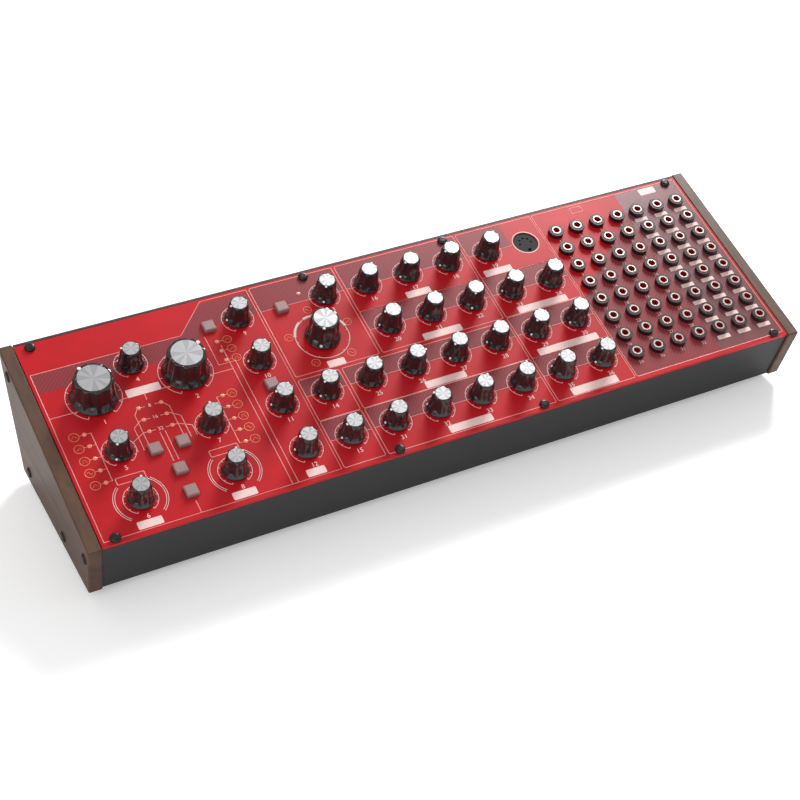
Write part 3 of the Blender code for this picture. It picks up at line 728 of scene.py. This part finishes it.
DIVIDERS = (
    ((1.7, 79.5), (42.6, 79.5)), ((60.6, 79.5), (99.8, 79.5)), ((99.8, 96), (99.8, 2.5)),
    ((103, 84), (103, 2.5)),
    ((93.7, 104), (93.7, 84), (103, 84)), ((51.1, 79), (51.1, 75.3)), ((49.9, 54.2), (49.9, 35.6)),
    ((52.6, 54.2), (52.6, 35.6)), ((51.2, 10), (51.2, 2.5)), ((17.9, 65.1), (17.9, 34.6)),
    ((84.6, 65.1), (84.6, 34.6)),
)
# Each branch of the octave tree: half its inner width, half its outer width, and its height
TREE_BRANCHES = ((6.5, 9.2, 71.5), (7.9, 12.4, 63.9), (9.2, 15.6, 56.3))
TREE_STEM, TREE_DROP, TREE_FOOT = 2.6, 3.4, 46.4
# Each band's left and right ends, and the heights of its lower edges
BAND_EDGES = (
    (128.6, 177, (110,)), (179.4, 253.2, (110, 80)), (153.9, 253.4, (50, 20)), (128.6, 151.4, (50, 20)),
    (255.5, 283.5, (110,)), (255.5, 304.1, (80, 50, 20)),
)
NAME_BARS: tuple[Box, ...] = (
    (19.8, 32.6, 3.3, 7.8), (69, 81.7, 3.3, 7.8), (42.6, 60.6, 79.2, 84.2), (108.9, 119.2, 3.3, 7.8),
    (147.8, 157.8, 63.1, 67.8), (191.3, 215.6, 33.8, 38.2), (190.2, 216, 3.3, 8), (208.9, 223.9, 93.1, 97.8),
    (204.8, 228.3, 63.4, 68.1), (258.3, 275.9, 93.3, 97.8), (264.2, 295.9, 63.4, 68),
    (260.6, 298.9, 33.3, 37.8), (265, 294.4, 3, 8), (378.9, 390, 121.2, 126),
)


@dataclass(frozen=True)
class Scale:
    """The scale round one size of knob, in millimetres."""

    radius: float
    tick: float
    drop: float


SMALL_SCALE = Scale(8.6, 0.9, 10.4)
RATE_SCALE = Scale(14.7, 0.9, 18.0)
TUNE_SCALE = Scale(14.2, 1.5, 16.4)


def scale_of(name: str) -> Scale:
    """The scale that goes round a knob.

    Args:
        name: The knob's joint.

    Returns:
        Its scale.
    """
    if "tune" in name:
        return TUNE_SCALE
    return RATE_SCALE if name.startswith("lfo_shape") else SMALL_SCALE


@dataclass
class PanelPrint:
    """All that is printed on the enamel: borders, section lines, scales, bars, symbols and numbers."""

    line: float = 0.55 * MM
    fine: float = 0.38 * MM
    hair: float = 0.24 * MM
    thick: float = 1.9 * MM
    area_out: float = 0.012 * MM
    bar_out: float = 0.03 * MM
    sweep: float = 150.0
    ticks: int = 11
    knobs: list[tuple[str, Point]] = field(default_factory=list)

    def build(self) -> None:
        """Lay down every printed layer."""
        for joint in frame["joints"]:
            if joint["type"] == "hinge":
                self.knobs.append((joint["name"], PLANE.place_of(Vector(joint["pos_m"]))))
        self.areas()
        self.borders()
        self.scales()
        self.bars()
        self.symbols()
        self.numbers()
        LOG.info("panel print laid")

    def areas(self) -> None:
        """Greyed and hatched areas behind the legends, clear of the buttons and the socket."""
        hatched = [millimetres(*OSCILLATOR_HATCH), millimetres(*RATE_HATCH)]
        hatched += [rounded(*box) for box in HATCH_BOXES]
        hatched.append(millimetres(*JACK_HATCH))
        plate_object("hatched_areas", hatched, HATCHED, self.area_out)
        plate_object("output_area", [rounded(*OUTPUT_BOX)], GREYED, self.area_out)

    def borders(self) -> None:
        """Outer border and the lines between sections."""
        boxes = [rounded(*box) for box in SECTION_BOXES] + [rounded(*box, 0.6) for box in LABEL_BOXES]
        line_object("section_borders", boxes, self.line, LINE_INK, closed=True)
        open_lines = [millimetres(*BORDER)] + [millimetres(*divider) for divider in DIVIDERS]
        for sign in (-1, 1):
            for inner, outer, up in TREE_BRANCHES:
                end = MIDDLE + sign * outer
                open_lines.append(millimetres((MIDDLE + sign * TREE_STEM, up), (MIDDLE + sign * inner, up),
                                              (end, up - TREE_DROP), (end, TREE_FOOT)))
        line_object("open_lines", open_lines, self.line, LINE_INK)
        edges = [millimetres((left, up), (right, up)) for left, right, ups in BAND_EDGES for up in ups]
        line_object("band_edges", edges, self.fine, LINE_INK)

    def scales(self) -> None:
        """A scale of ticks round every knob, and the wider arcs round some."""
        arcs, ticks = [], []
        for name, centre in self.knobs:
            scale = scale_of(name)
            radius = scale.radius * MM
            arcs.append(arc(centre, radius, -self.sweep, self.sweep))
            for number in range(self.ticks):
                turn = math.radians(-self.sweep + 2 * self.sweep / (self.ticks - 1) * number)
                ends = (radius, radius - scale.tick * MM)
                ticks.append([(centre[0] + r * math.sin(turn), centre[1] + r * math.cos(turn)) for r in ends])
        line_object("scale_arcs", arcs, self.fine, INK)
        line_object("scale_ticks", ticks, self.fine, INK)
        crescents = [arc(centre, r * MM, start, start + 100)
                     for name, centre in self.knobs if "_width_" in name
                     for r in (12.4, 13.4) for start in (-140, 40)]
        line_object("width_crescents", crescents, self.fine, INK)
        middle = next(centre for name, centre in self.knobs if name.startswith("lfo_shape"))
        radius = RATE_SCALE.radius * MM
        rate_bars = [arc(middle, radius, start, start + 42, 12) for start in (-75, -20, 38)]
        line_object("rate_bars", rate_bars, self.thick, INK)
        line_object("rate_ring", [arc(middle, radius, -180, 180)], self.line, INK)

    def bars(self) -> None:
        """Pale bars that name the sections, bare, and bars under the output jacks."""
        plates = [rounded(*bar, 0.7) for bar in NAME_BARS]
        half, high, low = 4.2, 4.9, 7.6
        for across in JACK_COLUMNS[INPUT_COLUMNS:]:
            for up in JACK_ROWS:
                plates.append(rounded(across - half, across + half, up - low, up - high, 0.5))
        plate_object("name_bars", plates, INK, self.bar_out)

    def symbols(self) -> None:
        """Wave circles beside the oscillators and the filter, with their lamps."""
        rings, waves, lamps, joins, buses = [], [], [], [], []
        for column in WAVE_COLUMNS:
            for number, up in enumerate(WAVE_ROWS):
                rings.append(arc((column["symbol"] * MM, up * MM), 2.5 * MM, 0, 360, 24))
                waves.append(self.wave(column["symbol"], up, number))
                lamps.append((column["lamp"], up))
                joins.append(millimetres((column["rim"], up), (column["lamp"], up)))
                buses.append(millimetres((column["lamp"], up), (column["bus"], up)))
        for number, (across, up) in enumerate((*((MODE_SYMBOL, up) for up in MODE_ROWS), *RATE_SYMBOLS)):
            rings.append(arc((across * MM, up * MM), 2.3 * MM, 0, 360, 24))
            waves.append(self.wave(across, up, number))
        joins += [millimetres((MODE_LAMP, up), (MODE_RIM, up)) for up in MODE_ROWS]
        line_object("symbol_joins", joins + buses, self.fine, ORANGE)
        lamps += [(MODE_LAMP, up) for up in MODE_ROWS]
        lamps += [(across, up) for up in OCTAVE_ROWS.values() for across in OCTAVE_LAMPS]
        lamps.append(CLOCK_LAMP)
        line_object("symbol_rings", rings, self.fine, ORANGE)
        line_object("symbol_waves", waves, self.hair, ORANGE)
        profile = [(1.15 * MM, -0.1 * MM), (1.15 * MM, 0.15 * MM), (0.7 * MM, 0.4 * MM)]
        lens = close(turned(profile, 16), "lens", LENS, 60)
        many(lens, "lamp_lenses", [PLANE.matrix(x * MM, y * MM, 0) for x, y in lamps])

    @staticmethod
    def wave(across: float, up: float, number: int) -> Stroke:
        """One plain wave form, in metres.

        Args:
            across: Centre across, in millimetres.
            up: Centre up the slope, in millimetres.
            number: Which of the four forms.

        Returns:
            Its points.
        """
        end, low, high = 1.4, -0.8, 0.9
        forms = (
            [(-end, low), (0, high), (end, low)],
            [(-end, low), (1.0, high), (1.0, low), (end, low)],
            [(-end, low), (-end / 2, low), (-end / 2, -low), (end / 2, -low), (end / 2, low), (end, low)],
            [(end * (i / 4 - 1), high * math.sin(i * math.pi / 4)) for i in range(9)],
        )
        return millimetres(*[(across + x, up + y) for x, y in forms[number % len(forms)]])

    def numbers(self) -> None:
        """Plain numbers under the knobs and input jacks, and on the octave tree."""
        knob_size, jack_size, octave_size, jack_drop = 3.8, 2.9, 3.0, 6.4
        entries = []
        for number, (name, (across, up)) in enumerate(self.knobs, start=1):
            entries.append((str(number), across, up - scale_of(name).drop * MM, knob_size * MM))
        for row, up in enumerate(JACK_ROWS):
            for column, across in enumerate(JACK_COLUMNS[:INPUT_COLUMNS]):
                number = 1 + column + INPUT_COLUMNS * row
                entries.append((str(number), across * MM, (up - jack_drop) * MM, jack_size * MM))
        for number, up in OCTAVE_ROWS.items():
            entries.append((str(number), MIDDLE * MM, up * MM, octave_size * MM))
        texts = [self.text(*entry) for entry in entries]
        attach(joined(texts, "dial_numbers"), "case")

    @staticmethod
    def text(text: str, across: float, up: float, size: float) -> bpy.types.Object:
        """One printed number as a thin mesh on the panel.

        Args:
            text: What it says.
            across: Its middle, across.
            up: Its middle, up the slope.
            size: Height of its letters.

        Returns:
            The mesh.
        """
        deselect()
        bpy.ops.object.text_add(location=(0, 0, 0))
        obj = bpy.context.object
        obj.data.body = text
        obj.data.size = size
        obj.data.align_x = "CENTER"
        obj.data.align_y = "CENTER"
        obj.data.resolution_u = 2
        obj.data.extrude = 0.01 * MM
        bpy.ops.object.convert(target="MESH")
        obj = bpy.context.object
        obj.data.transform(PLANE.matrix(across, up, 0.02 * MM))
        obj.data.materials.clear()
        obj.data.materials.append(INK.material())
        return obj


@dataclass
class Hardware:
    """Screws, jack nuts and the socket's collar: small turned pieces over the plain solids."""

    screw_radius: float = 2.75 * MM
    screw_height: float = 1.75 * MM
    screw_columns: tuple[float, ...] = (7.5, 159.9, 246.3, 398.7)
    screw_rows: tuple[float, ...] = (3.0, 125.5)
    cheek_screw_radius: float = 2.95 * MM
    cheek_screw_height: float = 1.2 * MM
    cheek_screws_at: tuple[Point, ...] = ((4.4, -12.1), (35.6, -38.3), (88.7, -54.1), (116.0, -6.1))
    bore: float = 1.9 * MM
    ring: float = 2.95 * MM
    nut: float = 4.5 * MM
    socket: Point = (292.7 * MM, 109.7 * MM)

    def screw(self, radius: float, height: float) -> bpy.types.Object:
        """A domed screw with a shallow round recess, modelled about its axis.

        Args:
            radius: Radius of the head.
            height: Height of the head.

        Returns:
            The screw.
        """
        shares = ((1.0, 0.0), (1.0, 0.45), (0.93, 0.72), (0.76, 0.9), (0.52, 1.0), (0.46, 1.0), (0.42, 0.93))
        rings = [(radius * wide, height * high) for wide, high in shares]
        return close(turned(rings, 24), "screw", SCREW, 40)

    def build(self) -> None:
        """Set all the hardware in place."""
        model = self.screw(self.screw_radius, self.screw_height)
        places = [PLANE.matrix(x * MM, y * MM, 0) for x in self.screw_columns for y in self.screw_rows]
        many(model, "panel_screw_heads", places)
        for side, node in ((-1, "left_cheek"), (1, "right_cheek")):
            self.cheek_screws(side, node)
        self.nuts()
        self.collar()

    def cheek_screws(self, side: int, node: str) -> None:
        """Screw heads on one cheek.

        Args:
            side: -1 for the left, 1 for the right.
            node: The cheek's node.
        """
        low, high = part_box(node)
        head = self.cheek_screw_height
        face = high.x - head if side > 0 else low.x + head
        model = self.screw(self.cheek_screw_radius, head)
        matrices = []
        for up, out in self.cheek_screws_at:
            centre = PLANE.matrix(0, up * MM, out * MM).translation
            turn = Matrix.Rotation(side * math.pi / 2, 4, "Y")
            matrices.append(Matrix.Translation((face, centre.y, centre.z)) @ turn)
        many(model, node + "_screw_heads", matrices)

    def nuts(self) -> None:
        """A dark nut, a nickel ring and a dark sleeve for each jack, all open in the middle."""
        places = [PLANE.matrix(x * MM, y * MM, 0) for y in JACK_ROWS for x in JACK_COLUMNS]
        inside = self.ring + 0.01 * MM
        nut = [(inside, 0.0), (self.nut, 0.0), (self.nut, 2.42 * MM), (self.nut - 0.22 * MM, 2.62 * MM),
               (3.1 * MM, 2.62 * MM), (inside, 2.5 * MM), (inside, 0.0)]
        many(close(turned(nut, 24, hollow=True), "nut", NUT_DARK, 40), "jack_nuts", places)
        outside, base = self.ring - 0.01 * MM, 0.02 * MM
        ring = [(self.bore, base), (outside, base), (outside, 2.75 * MM), (2.7 * MM, 2.95 * MM),
                (self.bore + 0.1 * MM, 2.95 * MM), (self.bore, 2.8 * MM), (self.bore, base)]
        many(close(turned(ring, 24, hollow=True), "ring", NICKEL, 40), "jack_rings", places)
        inner, outer, low, high = self.bore - 0.12 * MM, self.bore - 0.02 * MM, -1.8 * MM, 2.6 * MM
        sleeve = [(inner, low), (outer, low), (outer, high), (inner, high), (inner, low)]
        many(close(turned(sleeve, 20, hollow=True), "sleeve", SOCKET, 40), "jack_sleeves", places)

    def collar(self) -> None:
        """The printed ring round the round socket."""
        line_object("socket_ring", [arc(self.socket, 7.9 * MM, 0, 360, 48)], 0.7 * MM, INK)


@dataclass
class Case:
    """The carried-over solids, each in its finish."""

    finishes: dict[str, Finish] = field(default_factory=lambda: {
        "top_panel": ENAMEL, "case_tray": COAT, "left_cheek": WOOD, "right_cheek": WOOD, "main_board": BOARD,
        "jack_board": BOARD, "rear_board": BOARD, "front_left_foot": RUBBER, "front_right_foot": RUBBER,
        "back_left_foot": RUBBER, "back_right_foot": RUBBER,
    })

    def build(self) -> None:
        """Put a finish on every solid that stays."""
        for name, node in frame["nodes"].items():
            finish = self.finishes.get(name)
            if finish is None:
                finish = BUTTON_GREY if name.endswith("_button") and name != "power_button" else SOCKET
            if name.endswith("_knob"):
                finish = BLACK
            node.data.materials.clear()
            node.data.materials.append(finish.material())
        LOG.info("case dressed")


@dataclass
class Studio:
    """White floor, soft lamps, and the camera where the photograph was taken."""

    focal_pixels: float = 1597.381
    principal: tuple[float, float] = (444.338, 498.617)
    picture: float = 800.0
    sensor: float = 36.0
    eye: tuple[float, float, float] = (-137.39878, -384.54044, 657.42827)
    right: tuple[float, float, float] = (0.8792333536, -0.4451171212, 0.1697629735)
    down: tuple[float, float, float] = (-0.2888049678, -0.7814314861, -0.5531333682)
    ahead: tuple[float, float, float] = (0.3788672597, 0.4373049163, -0.8156126592)
    key_place: tuple[float, float, float] = (0.95, 0.95, 1.05)
    key_size: float = 0.6
    key_power: float = 30.0
    fill_place: tuple[float, float, float] = (-1.2, -0.9, 1.1)
    fill_size: float = 1.4
    fill_power: float = 8.0
    sky: float = 0.55
    floor_size: float = 12.0
    floor_lift: float = 0.3

    def build(self) -> None:
        """Make the camera, floor, world and lamps."""
        self.camera()
        self.floor()
        self.world()
        self.lamp("key_light", self.key_place, self.key_size, self.key_power)
        self.lamp("fill_light", self.fill_place, self.fill_size, self.fill_power)
        bpy.context.scene.view_settings.view_transform = "Standard"

    def camera(self) -> None:
        """The camera, from its place in the panel's own axes, in millimetres."""
        half = self.picture / 2
        data = bpy.data.cameras.new("photo_camera")
        data.sensor_width = self.sensor
        data.lens = self.focal_pixels / self.picture * self.sensor
        data.shift_x = (half - self.principal[0]) / self.picture
        data.shift_y = (self.principal[1] - half) / self.picture
        data.clip_start = 0.01
        data.clip_end = 50.0
        camera = bpy.data.objects.new("photo_camera", data)
        bpy.context.scene.collection.objects.link(camera)
        axes = Matrix((Vector(self.right), -Vector(self.down), -Vector(self.ahead))).transposed().to_4x4()
        eye = Matrix.Translation(Vector(self.eye) * MM)
        camera.matrix_world = PLANE.matrix() @ eye @ axes
        bpy.context.scene.camera = camera

    def floor(self) -> None:
        """A wide white floor that keeps the shadow and looks a little brighter to the camera."""
        deselect()
        bpy.ops.mesh.primitive_plane_add(size=self.floor_size, location=(0, 0, -0.2 * MM))
        floor = bpy.context.object
        floor.name = "floor"
        made = bpy.data.materials.new("white_floor")
        made.use_nodes = True
        shader = made.node_tree.nodes["Principled BSDF"]
        shader.inputs["Base Color"].default_value = (0.93, 0.93, 0.93, 1.0)
        shader.inputs["Roughness"].default_value = 0.45
        path = made.node_tree.nodes.new("ShaderNodeLightPath")
        lift = made.node_tree.nodes.new("ShaderNodeMath")
        lift.operation = "MULTIPLY"
        lift.inputs[1].default_value = self.floor_lift
        made.node_tree.links.new(path.outputs["Is Camera Ray"], lift.inputs[0])
        made.node_tree.links.new(lift.outputs["Value"], shader.inputs["Emission Strength"])
        shader.inputs["Emission Color"].default_value = (1.0, 1.0, 1.0, 1.0)
        floor.data.materials.append(made)

    def world(self) -> None:
        """A white sky that shows as white and lights softly."""
        world = bpy.data.worlds.new("studio")
        bpy.context.scene.world = world
        world.use_nodes = True
        nodes, links = world.node_tree.nodes, world.node_tree.links
        background = nodes["Background"]
        path = nodes.new("ShaderNodeLightPath")
        strength = nodes.new("ShaderNodeMapRange")
        strength.inputs["To Min"].default_value = self.sky
        strength.inputs["To Max"].default_value = 1.0
        links.new(path.outputs["Is Camera Ray"], strength.inputs["Value"])
        links.new(strength.outputs["Result"], background.inputs["Strength"])
        background.inputs["Color"].default_value = (1.0, 1.0, 1.0, 1.0)

    def lamp(self, name: str, place: tuple[float, float, float], size: float, power: float) -> None:
        """A square lamp aimed at the middle of the panel.

        Args:
            name: Name of the lamp.
            place: Where it hangs.
            size: Length of its side.
            power: Its power in watts.
        """
        data = bpy.data.lights.new(name, "AREA")
        data.size = size
        data.energy = power
        lamp = bpy.data.objects.new(name, data)
        bpy.context.scene.collection.objects.link(lamp)
        lamp.location = place
        lamp.rotation_euler = (-Vector(place)).to_track_quat("-Z", "Y").to_euler()


def main() -> None:
    """Build every part of the scene in order."""
    logging.basicConfig(level=logging.INFO)
    Case().build()
    Knobs().build()
    PanelPrint().build()
    Hardware().build()
    Studio().build()
    deselect()


if __name__ == "__main__":
    main()
